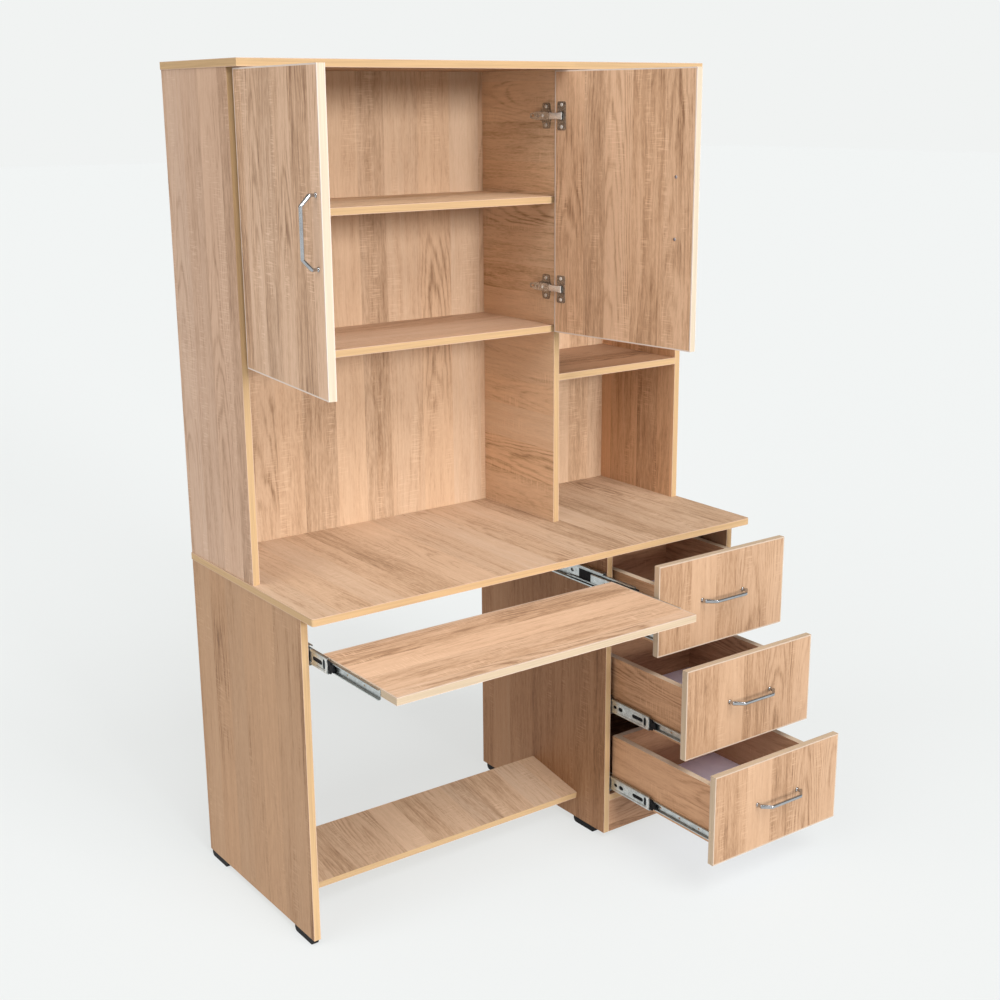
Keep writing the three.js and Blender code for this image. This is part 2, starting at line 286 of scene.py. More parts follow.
def board_material(name, obj, grain, flat, seed, light_and_shade_factor=(1, 1, 1), edge=YELLOW_EDGE,
                   rim=YELLOW_LINE, line=0.0, turn=None):
    """Oak decor on the two large faces of a board and edging round it.
    grain and flat are the axes along the grain and through the board; line is the width of the
    edging that shows round the faces; turn rotates both axes, for a board that stands open."""
    material, t, shader = new_material(name)
    turn = turn or Matrix.Identity(3)
    along = turn @ AXES[grain]
    through = turn @ AXES[flat]
    across = turn @ AXES[({"x", "y", "z"} - {grain, flat}).pop()]
    place = t.nodes.new("ShaderNodeTexCoord")
    at, normal = place.outputs["Object"], place.outputs["Normal"]
    spans = []
    for way in (along, across, through):
        reach = [way.dot(v.co) for v in obj.data.vertices]
        spans.append((min(reach), max(reach)))

    u, v, w = (dot(t, at, way) for way in (along, across, through))
    tone, cool, height = figure(t, u, v, seed)
    wood = ramp(t, tone, TONE_STEPS)
    wood = mix(t, cool, wood, mix(t, 1.0, wood, (*COOL_LEAN, 1), "MULTIPLY"))
    # The board's factor paints light and shade into its decor colour.
    base = tuple(c * k for c, k in zip(DECOR, light_and_shade_factor))
    wood = mix(t, 1.0, wood, (*base, 1), "MULTIPLY")

    layers = vec(t, calc(t, "MULTIPLY", u, 6), calc(t, "MULTIPLY", v, 6), calc(t, "MULTIPLY", w, 420))
    dark, light = (tuple(min(1, c * k) for c in edge) for k in (0.86, 1.08))
    rind = ramp(t, noise(t, layers), [(0.25, dark), (0.7, light)])
    thick = (spans[2][1] - spans[2][0]) / 2
    from_middle = calc(t, "ABSOLUTE", calc(t, "SUBTRACT", w, sum(spans[2]) / 2))
    rind = mix(t, step(t, from_middle, thick - 2 * RIM, thick - RIM), rind, (*rim, 1))
    face = step(t, calc(t, "ABSOLUTE", dot(t, normal, through)), 0.9, 0.99)
    if line:
        inside = None
        for value, (lo, hi) in ((u, spans[0]), (v, spans[1])):
            off = calc(t, "ABSOLUTE", calc(t, "SUBTRACT", value, (lo + hi) / 2))
            off = calc(t, "SUBTRACT", (hi - lo) / 2, off)
            inside = off if inside is None else calc(t, "MINIMUM", inside, off)
        wood = mix(t, step(t, inside, line - LINE_BLUR, line + LINE_BLUR), (*rim, 1), wood)
    t.links.new(mix(t, face, rind, wood), shader.inputs["Base Color"])
    t.links.new(step(t, height, 0.1, 1.0, *LAMINATE_ROUGH), shader.inputs["Roughness"])
    shader.inputs["Specular IOR Level"].default_value = LAMINATE_SHINE
    bump(t, shader, calc(t, "MULTIPLY", height, face), 0.00025, 0.6)
    return material


def soften(obj, width=0.0006, segments=2):
    bevel = obj.modifiers.new("edge", "BEVEL")
    bevel.width, bevel.segments = width, segments
    bevel.limit_method, bevel.angle_limit = "ANGLE", math.radians(30)


def dress(obj, material):
    obj.data.materials.clear()
    obj.data.materials.append(material)


def door_turn(joint, closing):
    """The rotation from a door's shut position to where it stands at rest, and its hinge point.
    closing is the sign of the angle that shuts it."""
    row = JOINTS[joint]
    return Matrix.Rotation(math.radians(closing * row["range_deg"][0]), 3, "Z"), Vector(row["pos_m"])


LEFT_TURN, LEFT_PIVOT = door_turn("left_door_hinge", 1)
RIGHT_TURN, RIGHT_PIVOT = door_turn("right_door_hinge", -1)

# The width of edging that shows round the faces of doors, drawer fronts and the tray.
EDGING = 0.0028
TRAY_BAND = {"edge": TRAY_EDGE, "rim": TRAY_LINE, "line": EDGING}
DOOR_BAND = {"edge": DOOR_EDGE, "rim": DOOR_LINE, "line": EDGING}
DRAWER_BAND = {"edge": DRAWER_EDGE, "rim": DRAWER_LINE, "line": EDGING}
# name: grain, flat, seed, a factor on the decor's colour that paints light and shade into the board (darker
# where it lies in shade, lighter where it takes more light), other settings
BOARDS = {
    "worktop": ("y", "z", 3.0, (1.08, 1.16, 1.20), {}),
    "base_left_side": ("z", "x", 1.0, (0.79, 0.73, 0.63), {}),
    "pedestal_left_side": ("z", "x", 4.0, (0.72, 0.58, 0.44), {}),
    "pedestal_right_side": ("z", "x", 5.0, (0.9, 0.86, 0.82), {}),
    "pedestal_back": ("z", "y", 6.0, (0.9, 0.86, 0.82), {}),
    "pedestal_bottom": ("x", "z", 7.0, (0.9, 0.86, 0.82), {}),
    "pedestal_plinth": ("x", "y", 8.0, (0.74, 0.66, 0.58), {}),
    "foot_rest": ("y", "z", 9.0, (1.14, 1.26, 1.34), {}),
    "hutch_left_side": ("z", "x", 2.0, (0.97, 1.00, 1.07), {}),
    "hutch_right_side": ("z", "x", 11.0, (1.32, 1.28, 1.18), {}),
    "hutch_divider": ("y", "x", 12.0, (1.41, 1.53, 1.54), {}),
    "hutch_top": ("x", "z", 13.0, (0.74, 0.68, 0.60), {}),
    "hutch_back": ("z", "y", 14.0, (1.04, 1.09, 1.08), {}),
    "cupboard_shelf": ("x", "z", 15.0, (1.22, 1.28, 1.24), {}),
    "cupboard_bottom": ("x", "z", 16.0, (1, 1, 1), {}),
    "side_shelf": ("x", "z", 17.0, (0.62, 0.54, 0.47), {}),
    "keyboard_tray": ("x", "z", 18.0, (1.27, 1.33, 1.37), TRAY_BAND),
    "left_door": ("z", "y", 19.0, (1.22, 1.26, 1.31), {**DOOR_BAND, "turn": LEFT_TURN}),
    "right_door": ("z", "y", 20.0, (1.24, 1.26, 1.25), {**DOOR_BAND, "turn": RIGHT_TURN}),
}
for number in (1, 2, 3):
    BOARDS[f"drawer_{number}_front"] = ("z", "y", 21.0, (0.83, 0.81, 0.76), DRAWER_BAND)
for board_name, (*looks, extra) in BOARDS.items():
    board = NODES[board_name]
    dress(board, board_material("oak_" + board_name, board, *looks, **extra))
    soften(board)


def box_material(name, seed):
    """Drawer box: decor on the standing faces with the grain along the board, pale edging on top."""
    material, t, shader = new_material(name)
    place = t.nodes.new("ShaderNodeTexCoord")
    at, normal = place.outputs["Object"], place.outputs["Normal"]
    x, y, z = (dot(t, at, AXES[a]) for a in "xyz")
    side = step(t, calc(t, "ABSOLUTE", dot(t, normal, AXES["x"])), 0.6, 0.8)
    end = calc(t, "SUBTRACT", 1, side)
    lengthwise = calc(t, "ADD", calc(t, "MULTIPLY", y, side), calc(t, "MULTIPLY", x, end))
    tone, _, height = figure(t, lengthwise, z, seed)
    wood = ramp(t, tone, TONE_STEPS)
    wood = mix(t, 1.0, wood, (*BOX_DECOR, 1), "MULTIPLY")
    top = step(t, dot(t, normal, AXES["z"]), 0.5, 0.9)
    band = noise(t, vec(t, calc(t, "MULTIPLY", x, 60), calc(t, "MULTIPLY", y, 60), z), detail=3)
    rind = ramp(t, band, [(0.3, tuple(c * 0.9 for c in PALE_EDGE)), (0.7, PALE_EDGE)])
    t.links.new(mix(t, top, wood, rind), shader.inputs["Base Color"])
    t.links.new(step(t, height, 0.1, 1.0, *LAMINATE_ROUGH), shader.inputs["Roughness"])
    shader.inputs["Specular IOR Level"].default_value = LAMINATE_SHINE
    bump(t, shader, height, 0.0002, 0.5)
    return material


def plain_material(name, low, high, scale, rough, metallic=0.0, depth=0.0, shine=0.5):
    """Painted board, moulded plastic or metal whose colour and gloss drift a little over the surface; on
    the hinge steels the wide drift also paints in highlights and dark reflections.
    """
    material, t, shader = new_material(name)
    at = t.nodes.new("ShaderNodeTexCoord").outputs["Object"]
    blotch = noise(t, at, scale, 4, 0.6)
    t.links.new(ramp(t, blotch, [(0.3, low), (0.7, high)]), shader.inputs["Base Color"])
    fine = noise(t, at, scale * 9, 3, 0.6)
    t.links.new(step(t, fine, 0.25, 0.75, *rough), shader.inputs["Roughness"])
    shader.inputs["Metallic"].default_value = metallic
    shader.inputs["Specular IOR Level"].default_value = shine
    if depth:
        bump(t, shader, fine, depth, 0.6)
    return material


# Drawer bottoms: a pale lavender board whose colour is lifted close to white as painted light for the dim
# drawer insides.
BOTTOM = plain_material("pale_board", (0.84, 0.76, 0.89), (0.92, 0.84, 0.95), 40, (0.45, 0.6),
                        depth=0.0001)
BLACK = plain_material("black_plastic", (0.004, 0.004, 0.005), (0.012, 0.012, 0.014), 260, (0.45, 0.65),
                       depth=0.0002, shine=0.12)
CHROME = plain_material("chrome", (0.38, 0.39, 0.41), (0.50, 0.51, 0.53), 35, (0.08, 0.18), 1.0)
BRIGHT = plain_material("bright_link", (0.62, 0.60, 0.57), (0.86, 0.85, 0.82), 160, (0.15, 0.3), 0.5)
ZINC = plain_material("zinc_steel", (0.42, 0.45, 0.45), (0.66, 0.69, 0.69), 90, (0.22, 0.42), 1.0, 0.00005)
# Hinge steels: blotches from near black to pale, partly colour drift of the metal and partly painted
# highlights and dark reflections.
NICKEL = plain_material("nickel_hinge", (0.10, 0.085, 0.07), (0.46, 0.43, 0.39), 260, (0.12, 0.3),
                        0.75, 0.00005)
ARM_STEEL = plain_material("arm_steel", (0.12, 0.10, 0.08), (0.80, 0.77, 0.72), 330, (0.12, 0.3),
                           0.7, 0.00005)
SCREW = plain_material("screw_steel", (0.30, 0.29, 0.33), (0.5, 0.49, 0.53), 300, (0.25, 0.4), 1.0)

for number in (1, 2, 3):
    drawer_box = NODES[f"drawer_{number}_box"]
    dress(drawer_box, box_material(f"oak_drawer_box_{number}", 30.0 + number))
    soften(drawer_box)
    dress(NODES[f"drawer_{number}_bottom"], BOTTOM)
for node_name, cad in NODES.items():
    if node_name.startswith("foot_") and node_name != "foot_rest":
        dress(cad, BLACK)
        soften(cad, 0.0008, 2)


# ---------------------------------------------------------------- mesh helpers
SHARP = math.radians(38)


def piece(name, mesh_data, material, body, stands_for=(), smooth=True):
    """Makes a piece from (vertices, faces) in metres in the row frame, riding on a body."""
    vertices, faces = mesh_data
    mesh = bpy.data.meshes.new(name)
    mesh.from_pydata([tuple(v) for v in vertices], [], faces)
    b = bmesh.new()
    b.from_mesh(mesh)
    bmesh.ops.remove_doubles(b, verts=b.verts, dist=1e-6)
    bmesh.ops.recalc_face_normals(b, faces=b.faces)
    b.to_mesh(mesh)
    b.free()
    mesh.materials.append(material)
    obj = bpy.data.objects.new(name, mesh)
    bpy.context.scene.collection.objects.link(obj)
    if smooth:
        mesh.polygons.foreach_set("use_smooth", [True] * len(mesh.polygons))
        mesh.set_sharp_from_angle(angle=SHARP)
    if body:
        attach(obj, body)
    if stands_for:
        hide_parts(*stands_for)
    return obj


def merge(*parts):
    vertices, faces = [], []
    for vs, fs in parts:
        start = len(vertices)
        vertices += list(vs)
        faces += [[i + start for i in f] for f in fs]
    return vertices, faces


def prism(outline, low, high, place):
    """Extrudes a closed 2-D outline; place(a, b, c) turns outline and depth into a point."""
    count = len(outline)
    vertices = [place(a, b, low) for a, b in outline] + [place(a, b, high) for a, b in outline]
    faces = [list(range(count))[::-1], list(range(count, 2 * count))]
    faces += [[i, (i + 1) % count, count + (i + 1) % count, count + i] for i in range(count)]
    return vertices, faces


def tube_faces(rows, segments):
    """Faces of a closed tube of rows of segments points each, with a cap at both ends."""
    faces = []
    for row in range(rows - 1):
        start, above = row * segments, (row + 1) * segments
        for k in range(segments):
            nxt = (k + 1) % segments
            faces.append([start + k, start + nxt, above + nxt, above + k])
    faces.append(list(range(segments))[::-1])
    last = (rows - 1) * segments
    faces.append(list(range(last, last + segments)))
    return faces


def lathe(profile, centre, axis, segments=20):
    """Turns (radius, height) pairs round an axis through centre, with a flat cap at both ends."""
    axis = Vector(axis).normalized()
    side = axis.orthogonal().normalized()
    other = axis.cross(side)
    vertices = []
    for radius, height in profile:
        for k in range(segments):
            a = math.tau * k / segments
            spoke = (side * math.cos(a) + other * math.sin(a)) * radius
            vertices.append(Vector(centre) + axis * height + spoke)
    return vertices, tube_faces(len(profile), segments)


def rounded(points, radius, steps=4, closed=False):
    """A polyline with its corners filleted. radius is one number, or one for each point."""
    out, count = [], len(points)
    for i, point in enumerate(points):
        r = radius[i] if isinstance(radius, (list, tuple)) else radius
        if r == 0 or (not closed and i in (0, count - 1)):
            out.append(Vector(point))
            continue
        here = Vector(point)
        before = Vector(points[i - 1]) - here
        after = Vector(points[(i + 1) % count]) - here
        half = before.angle(after) / 2
        reach = min(r / math.tan(half), before.length * 0.49, after.length * 0.49)
        start, end = here + before.normalized() * reach, here + after.normalized() * reach
        for k in range(steps + 1):
            s = k / steps
            out.append((1 - s) ** 2 * start + 2 * s * (1 - s) * here + s * s * end)
    return out


def offset_line(points, distance):
    """An open 2-D polyline moved sideways by distance."""
    out = []
    for i, point in enumerate(points):
        a = (point - points[i - 1]).normalized() if i else None
        b = (points[i + 1] - point).normalized() if i < len(points) - 1 else None
        a, b = a or b, b or a
        normal = Vector((-a.y - b.y, a.x + b.x)).normalized()
        spread = max(0.35, normal.dot(Vector((-a.y, a.x))))
        out.append(point + normal * (distance / spread))
    return out


def strip_outline(centre_line, thickness, radius):
    """The closed outline of a folded sheet whose middle runs along centre_line."""
    line = rounded(centre_line, radius)
    return offset_line(line, thickness / 2) + offset_line(line, -thickness / 2)[::-1]


def cut(obj, cutters):
    """Cuts closed shapes out of a piece and keeps the result as its own mesh."""
    tool = piece("cutter", merge(*cutters), ZINC, None, smooth=False)
    modifier = obj.modifiers.new("cut", "BOOLEAN")
    modifier.operation, modifier.object, modifier.solver = "DIFFERENCE", tool, "EXACT"
    made = bpy.data.meshes.new_from_object(obj.evaluated_get(bpy.context.evaluated_depsgraph_get()))
    obj.modifiers.clear()
    obj.data = made
    bpy.data.objects.remove(tool)
    made.set_sharp_from_angle(angle=SHARP)


def slot_outline(length, width, steps=5):
    """A slot with round ends, along the first axis."""
    r, half = min(length, width) / 2, abs(length - width) / 2
    out = []
    for centre, start in ((half, -math.pi / 2), (-half, math.pi / 2)):
        for k in range(steps + 1):
            a = start + math.pi * k / steps
            out.append((centre + r * math.cos(a), r * math.sin(a)))
    return out if length >= width else [(-b, a) for a, b in out]


# ---------------------------------------------------------------- bow handles
# (distance from the face, half thickness, half width) of the bow in millimetres: foot, post, wide
# knee, grip.
BOW_SECTION = [(0.0, 4.4, 4.4), (1.6, 4.4, 4.4), (3.5, 2.9, 3.0), (7.0, 2.9, 3.2), (12.5, 3.8, 5.0),
               (20.0, 3.4, 4.8), (29.6, 3.0, 3.9)]
# Half the distance between the posts, height of the knee and of the grip, run of the sloping arm.
BOW_HALF, BOW_KNEE, BOW_RISE, BOW_SLOPE = 64, 12.5, 29.6, 18
BOW_POST = (0, 1.6, 3.5, 6.0)
BOW_SQUARENESS = 0.62
BOW_GAP = 0.3
BOW_SEGMENTS = 20


def section_at(out):
    """Half thickness and half width of the bow at a distance from the face."""
    for (a, thick_a, wide_a), (b, thick_b, wide_b) in zip(BOW_SECTION, BOW_SECTION[1:]):
        if out <= b:
            t = (out - a) / (b - a)
            return thick_a + (thick_b - thick_a) * t, wide_a + (wide_b - wide_a) * t
    return BOW_SECTION[-1][1:]


def bow_line():
    """The bow's middle line as (along, out) points in millimetres."""
    corners = [(-BOW_HALF, 0), (-BOW_HALF, BOW_KNEE), (-BOW_HALF + BOW_SLOPE, BOW_RISE)]
    corners += [(-a, out) for a, out in corners[::-1]]
    line = rounded(corners, [0, 4.0, 3, 3, 4.0, 0], 5)
    post = [Vector((-BOW_HALF, height)) for height in BOW_POST]
    return post + line[1:-1] + [Vector((-p.x, p.y)) for p in post[::-1]]


def bow_handle(name, body, middle, along, out, node_name):
    """Chrome bow handle. middle is on the face, between its screws; out points away from the face."""
    middle, along, out = Vector(middle), Vector(along), Vector(out)
    side = along.cross(out)
    line = bow_line()
    vertices = []
    for i, point in enumerate(line):
        run = (line[min(i + 1, len(line) - 1)] - line[max(i - 1, 0)]).normalized()
        normal = Vector((-run.y, run.x))
        thick, wide = section_at(point.y)
        for k in range(BOW_SEGMENTS):
            a = math.tau * k / BOW_SEGMENTS
            c, s = math.cos(a), math.sin(a)
            flat = point + normal * (thick * math.copysign(abs(c) ** BOW_SQUARENESS, c))
            q = wide * math.copysign(abs(s) ** BOW_SQUARENESS, s)
            vertices.append(middle + (along * flat.x + out * (flat.y + BOW_GAP) + side * q) * MM)
    faces = tube_faces(len(line), BOW_SEGMENTS)
    piece(name, (vertices, faces), CHROME, body, (node_name,))


for number in (1, 2, 3):
    lo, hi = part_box(f"drawer_{number}_handle")
    on_face = Vector(((lo.x + hi.x) / 2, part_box(f"drawer_{number}_front")[0].y, (lo.z + hi.z) / 2))
    bow_handle(f"drawer_{number}_bow_handle", f"drawer_{number}", on_face, (1, 0, 0), (0, -1, 0),
               f"drawer_{number}_handle")


def door_frame(node_name, turn, pivot):
    """Matrix from a door's own frame (X from the hinge point along the shut door, Y into the desk, Z up)
    to the row frame, and a node's spans in X, Y and Z there."""
    back = turn.transposed()
    local = [back @ (v.co - Vector((pivot.x, pivot.y, 0))) for v in NODES[node_name].data.vertices]
    span = [(min(p[i] for p in local), max(p[i] for p in local)) for i in range(3)]
    return Matrix.Translation(Vector((pivot.x, pivot.y, 0))) @ turn.to_4x4(), span


DOORS = {}
for side_name, turn_now, pivot_now in (("left", LEFT_TURN, LEFT_PIVOT), ("right", RIGHT_TURN, RIGHT_PIVOT)):
    door_place, door_span = door_frame(f"{side_name}_door", turn_now, pivot_now)
    handle_span = door_frame(f"{side_name}_door_handle", turn_now, pivot_now)[1]
    DOORS[side_name] = (door_place, door_span, handle_span)
    grip = Vector((sum(handle_span[0]) / 2, door_span[1][0], sum(handle_span[2]) / 2))
    bow_handle(f"{side_name}_door_bow_handle", f"{side_name}_door", door_place @ grip,
               (0, 0, 1), turn_now @ Vector((0, -1, 0)), f"{side_name}_door_handle")


# ---------------------------------------------------------------- screws
def screw_head(centre, axis, radius, rise):
    profile = [(radius, 0), (radius, rise * 0.45), (radius * 0.86, rise * 0.8), (radius * 0.5, rise)]
    return lathe(profile, centre, axis, 16)


def screws(name, places, axis, body, radius=0.0036, rise=0.0016, material=SCREW):
    """Pan heads with a cross recess, as one piece."""
    axis = Vector(axis).normalized()
    side = axis.orthogonal().normalized()
    other = axis.cross(side)
    heads = merge(*[screw_head(p, axis, radius, rise) for p in places])
    obj = piece(name, heads, material, body)
    a, b = radius * 0.55, radius * 0.13
    cross = [(-a, -b), (-b, -b), (-b, -a), (b, -a), (b, -b), (a, -b),
             (a, b), (b, b), (b, a), (-b, a), (-b, b), (-a, b)]
    recesses = []
    for p in places:
        def place(x, y, depth, p=p):
            return Vector(p) + side * x + other * y + axis * depth
        recesses.append(prism(cross, rise * 0.3, rise * 1.5, place))
    cut(obj, recesses)
    return obj


# ---------------------------------------------------------------- ball-bearing runners
# (distance from the panel, height) along the middle of each folded member, in millimetres, and the
# distance of its flat web.
RUNNER_LINES = {
    "cabinet": [(11.3, 18.2), (11.3, 21.6), (0.8, 21.6), (0.8, -21.6), (11.3, -21.6), (11.3, -18.2)],
    "middle": [(8.0, 14.2), (8.0, 16.8), (2.6, 16.8), (2.6, 12.2), (3.9, 11.0),
               (3.9, -11.0), (2.6, -12.2), (2.6, -16.8), (8.0, -16.8), (8.0, -14.2)],
    "moving": [(6.7, 8.4), (6.7, 10.4), (12.3, 10.4), (12.3, -10.4), (6.7, -10.4), (6.7, -8.4)],
}
CURL_RADIUS, CURL_HALF, CURL_FLATTEN, CURL_BACK = 13, 2.2, 0.55, 15
# Balls: distance from the panel and height in millimetres, radius and pitch in metres.
BALL_AT, BALL_HEIGHT, BALL_RADIUS, BALL_PITCH = 7.0, 13.2, 0.0017, 0.0052
WEB_AT = {"cabinet": 0.8, "middle": 3.9, "moving": 12.3}
SHEET = 1.2


def runner_outline(kind):
    line = RUNNER_LINES[kind]
    bends = [0, 1.5, 2.4] + [0.8] * (len(line) - 6) + [2.4, 1.5, 0]
    return strip_outline(line, SHEET, bends)


def pairs(points):
    return [(p.x, p.y) for p in points]


def across_panel(panel_x, s, z):
    """place(distance from the panel, height, y) for prism; the first two are in millimetres."""
    return lambda d, h, y: Vector((panel_x + s * d * MM, y, z + h * MM))


def runner(name, kind, panel_x, s, z, y0, y1, body, holes, stands_for=()):
    """One folded member. s points from the cabinet panel to the moving box."""
    strip = prism(pairs(runner_outline(kind)), y0, y1, across_panel(panel_x, s, z))
    obj = piece(name, strip, ZINC, body, stands_for)
    cutters = []
    for y, length, width, h in holes:
        def through(a, b, c, y=y, h=h):
            return Vector((panel_x + s * (WEB_AT[kind] + c) * MM, y + a * MM, z + (b + h) * MM))
        cutters.append(prism(slot_outline(length, width), -2, 2, through))
    cut(obj, cutters)


def hole_row(y0, y1, pitch, length, width, h=0.0):
    """Slots at an even pitch as (y, length, width, height)."""
    count = max(1, int((y1 - y0) / pitch))
    return [(y0 + pitch * (i + 0.5), length, width, h) for i in range(count)]


def stop_and_shade_plate(name, panel_x, s, z, y0, y1, body):
    """Black stop pushed into the front end of a middle member, with a black plate behind the web that
    paints in the shade seen through its slots.
    """
    place = across_panel(panel_x, s, z)
    outline = rounded([(3.0, -9), (9.0, -7.5), (9.0, 7.5), (3.0, 9)], 2.2, 3, True)
    nose = prism(pairs(outline), y0, y0 + 0.012, place)
    ears = []
    for low, high in ((-13.0, -4), (4, 13.0)):
        ear = rounded([(2.4, low), (6.0, low), (6.0, high), (2.4, high)], 1.4, 3, True)
        ears.append(prism(pairs(ear), y0 + 0.009, y0 + 0.018, place))
    # Painted shade: a black plate behind the web's slots, so that they read dark.
    shade_plate = prism([(4.75, -12), (5.5, -12), (5.5, 12), (4.75, 12)], y0 + 0.009, y1, place)
    piece(name, merge(nose, *ears, shade_plate), BLACK, body)


def curl(name, panel_x, s, z, y, body):
    """Stamped steel tongue, bent to a half ring, at the front end of a middle member's web."""
    angles = (math.pi * (0.5 + k / 12) for k in range(13))
    line = [Vector((CURL_RADIUS * math.cos(a), CURL_RADIUS * math.sin(a))) for a in angles]
    outline = offset_line(line, CURL_HALF) + offset_line(line, -CURL_HALF)[::-1]

    def place(a, h, d):
        along = a * CURL_FLATTEN + CURL_BACK
        return Vector((panel_x + s * d * MM, y + along * MM, z + h * MM))
    piece(name, prism(pairs(outline), 1.7, 3.4, place), BRIGHT, body)


def ball(centre, radius):
    turns = [math.pi * k / 6 for k in range(7)]
    profile = [(radius * math.sin(a) + 1e-5, -radius * math.cos(a)) for a in turns]
    return lathe(profile, centre, (0, 1, 0), 8)


def ball_cage(name, panel_x, s, z, y0, y1, body):
    """Two steel strips between the moving member and the middle one, with the balls in them."""
    parts = []
    for h in (-BALL_HEIGHT, BALL_HEIGHT):
        def place(a, b, c, h=h):
            return Vector((panel_x + s * (a + BALL_AT) * MM, c, z + (b + h) * MM))
        parts.append(prism([(-1.6, -0.5), (1.6, -0.5), (1.6, 0.5), (-1.6, 0.5)], y0, y1, place))
        y = y0 + 0.006
        while y < y0 + 0.06:
            parts.append(ball(Vector((panel_x + s * BALL_AT * MM, y, z + h * MM)), BALL_RADIUS))
            y += BALL_PITCH
    piece(name, merge(*parts), ZINC, body)


CARCASS = "carcass"
SET_BACK = 0.003
# The facing sides of the panels that each kind of runner is screwed to.
PANELS = {
    "tray": (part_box("base_left_side")[1].x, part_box("pedestal_left_side")[0].x),
    "drawer": (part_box("pedestal_left_side")[1].x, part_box("pedestal_right_side")[0].x),
}
PANEL_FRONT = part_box("pedestal_left_side")[0].y
# How far a middle member's steel starts behind the front of its stop.
STEEL_BACK = 0.020
# (distance from the steel's front end, length, height) of its slots, in millimetres.
MIDDLE_SLOTS = [(15, 8, 21), (41, 38, 9.5), (101, 15, 10), (121, 12, 8), (156, 10, 21), (184, 30, 8),
                (226, 13, 8)]
PANEL_SCREWS = (0.052, 0.148, 0.244)


def runner_pair(key, panels, cabinet_length):
    """Both runners of a tray or drawer: cabinet, middle and moving members, stops and ball strips.
    key is both the body's name and the start of the names."""
    middle_body = f"{key}_middle"
    for side_name, s, panel_x in zip(("left", "right"), (1, -1), PANELS[panels]):
        moving_node = f"{key}_runner_{side_name}"
        middle_node = f"{key}_middle_member_{side_name}"
        lo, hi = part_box(moving_node)
        z = (lo.z + hi.z) / 2
        at = (panel_x, s, z)
        holes = hole_row(lo.y + 0.01, hi.y - 0.02, 0.032, 6, 4.2)
        holes += hole_row(lo.y + 0.026, hi.y - 0.02, 0.064, 9, 5)
        runner(f"{key}_moving_member_{side_name}", "moving", *at, lo.y, hi.y, key, holes, (moving_node,))

        mlo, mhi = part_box(middle_node)
        steel = mlo.y + STEEL_BACK
        slots = [(steel + d * MM, length, width, 0) for d, length, width in MIDDLE_SLOTS]
        runner(f"{key}_ball_member_{side_name}", "middle", *at, steel, mhi.y, middle_body, slots,
               (middle_node,))
        stop_and_shade_plate(f"{key}_stop_{side_name}", *at, mlo.y, steel + 0.20, middle_body)
        curl(f"{key}_curl_{side_name}", *at, steel - 0.006, middle_body)
        ball_cage(f"{key}_ball_strip_{side_name}", *at, steel + 0.01, mhi.y - 0.02, middle_body)

        y0 = PANEL_FRONT + SET_BACK
        y1 = y0 + cabinet_length
        holes = hole_row(y0 + 0.02, y1, 0.032, 5, 5) + hole_row(y0 + 0.036, y1, 0.096, 12, 6, 9)
        runner(f"{key}_cabinet_member_{side_name}", "cabinet", *at, y0, y1, CARCASS, holes)
        heads = [Vector((panel_x + s * 1.4 * MM, y0 + d, z)) for d in PANEL_SCREWS]
        screws(f"{key}_runner_screws_{side_name}", heads, (s, 0, 0), CARCASS, 0.0036, 0.0011)


runner_pair("tray", "tray", 0.300)
for number in (1, 2, 3):
    runner_pair(f"drawer_{number}", "drawer", 0.350)


# ---------------------------------------------------------------- concealed hinges
# In millimetres: the cup's middle from the door's edge, and the height of its screws; the height of the
# arm cover's underside and top above the panel.
CUP_FROM_EDGE, CUP_SCREWS = 21.5, (-24, 24)
PLATE_TOP, COVER = 2.6, (9.6, 11.2)
LINK_STEPS, LINK_BOW, LINK_HALF, LINK_WAIST = 14, 0.0022, 0.0076, 0.0012


def hinge_arm(cad_name, s, on_panel):
    """Cross plate, saddle, side walls and slotted cover, on the panel."""
    wings = rounded([(6, -8), (10, -12), (12, -28), (36, -28), (38, -12), (52, -9), (52, 9), (38, 12),
                     (36, 28), (12, 28), (10, 12), (6, 8)], 5, 4, True)
    top = rounded([(2, -6), (14, -9), (50, -9), (73, -5), (73, 5), (50, 9), (14, 9), (2, 6)], 3, 4, True)

    def standing(y, d, h):
        return on_panel(y, h, d)
    plate = prism(pairs(wings), 0.0, PLATE_TOP, on_panel)
    saddle = prism([(16, 2.4), (48, 2.4), (46, 6.5), (18, 6.5)], -5.6, 5.6, standing)
    walls = [prism([(6, 2.6), (44, 2.6), (46, 6.5), (50, 9.8), (4, 9.8)], h, h + SHEET, standing)
             for h in (-8.6, 7.4)]
    piece(f"{cad_name}_arm", merge(plate, saddle, *walls), NICKEL, CARCASS, (cad_name,))
    cover = piece(f"{cad_name}_arm_cover", prism(pairs(top), *COVER, on_panel), ARM_STEEL, CARCASS)
    cut(cover, [prism(slot_outline(length, width), 8, 13, lambda a, b, c, y=y: on_panel(y + a, b, c))
                for y, length, width in ((63, 11, 5.5), (43, 9, 7))])
    screws(f"{cad_name}_plate_screws", [on_panel(24, h, PLATE_TOP) for h in (-20, 20)], (s, 0, 0),
           CARCASS, 0.0044, 0.0018, BRIGHT)
    screws(f"{cad_name}_arm_screws", [on_panel(26, 0, COVER[1]), on_panel(43, 0, 8.0)], (s, 0, 0),
           CARCASS, 0.0036, 0.0018, BRIGHT)


